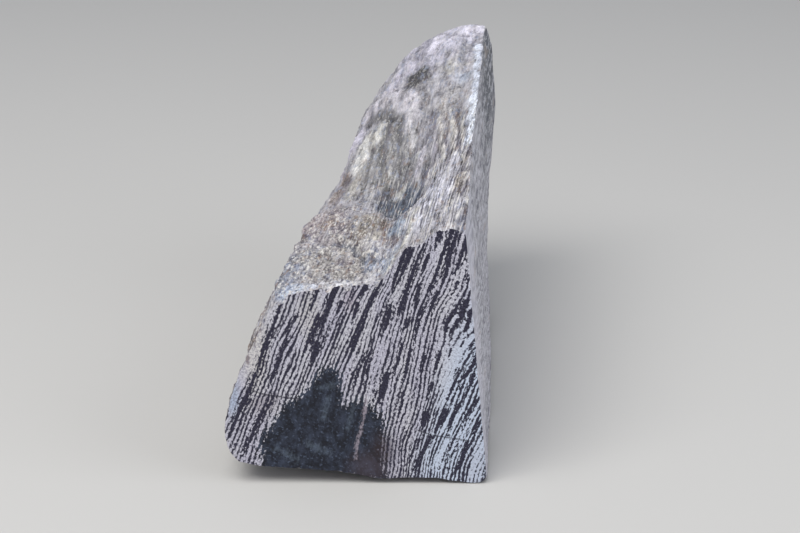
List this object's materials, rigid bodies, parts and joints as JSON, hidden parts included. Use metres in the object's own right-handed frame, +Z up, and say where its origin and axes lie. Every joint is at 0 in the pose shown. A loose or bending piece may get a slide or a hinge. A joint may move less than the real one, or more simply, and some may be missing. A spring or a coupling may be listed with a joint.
{
  "type": "flow-banded rhyolite specimen",
  "caption": "Loose wedge-shaped volcanic stone with a sawn end that shows its thin light and dark flow bands, a sharp upper ridge and weathered broken sides.",
  "frame": {"origin": "bottom centre of the stone's bounding box, on the surface that it rests on", "axes": "+Z up, +Y along the stone's length away from the sawn end, +X towards the flat right side under the ridge"},
  "size_m": [0.058, 0.1266, 0.0699],
  "materials": {
    "rhyolite": "matte"
  },
  "bodies": {
    "root": {"stone": "rhyolite"}
  },
  "joints": []
}
